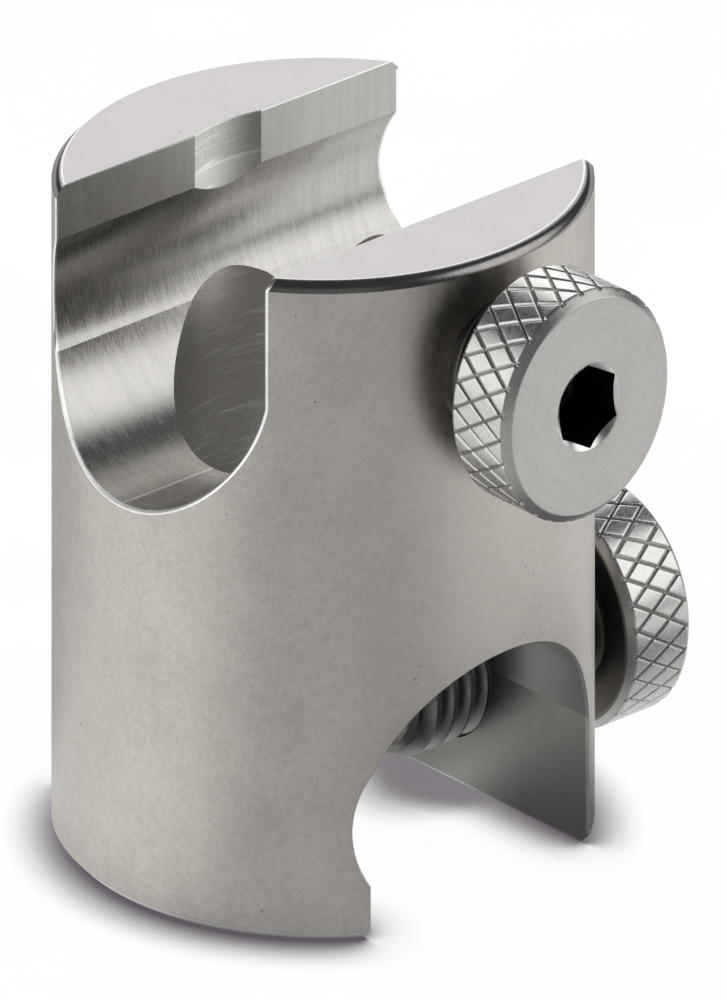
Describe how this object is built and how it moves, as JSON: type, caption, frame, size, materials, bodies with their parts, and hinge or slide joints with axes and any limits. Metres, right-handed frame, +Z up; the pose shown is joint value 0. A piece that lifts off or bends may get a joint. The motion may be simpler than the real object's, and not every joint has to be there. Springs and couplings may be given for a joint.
{
  "type": "cross clamp block",
  "caption": "Cylindrical steel boss that clamps crossing support rods in open hooked channels at right angles, each locked by a diamond-knurled screw, with a rod bore along its axis.",
  "frame": {"origin": "centre of the block, on the axis of its rod bore and halfway up it", "axes": "+Z up along the bore; +X the way the upper clamp screw backs out, so the upper channel runs along Y; +Y the way the lower clamp screw backs out, so the lower channel runs along X"},
  "size_m": [0.0368, 0.0372, 0.036],
  "materials": {
    "block_steel": "satin stainless steel, turned outside and milled in the channels",
    "screw_steel": "turned stainless steel with a diamond-knurled head"
  },
  "bodies": {
    "block": {"clamp_block": "block_steel"},
    "upper_screw": {"upper_clamp_screw": "screw_steel"},
    "lower_screw": {"lower_clamp_screw": "screw_steel"}
  },
  "joints": [
    {"name": "upper_screw_slide", "type": "slide", "parent": "block", "child": "upper_screw", "axis": [1, 0, 0], "range_m": [-0.002, 0.0065]},
    {"name": "lower_screw_slide", "type": "slide", "parent": "block", "child": "lower_screw", "axis": [0, 1, 0], "range_m": [-0.0023, 0.0062]}
  ]
}
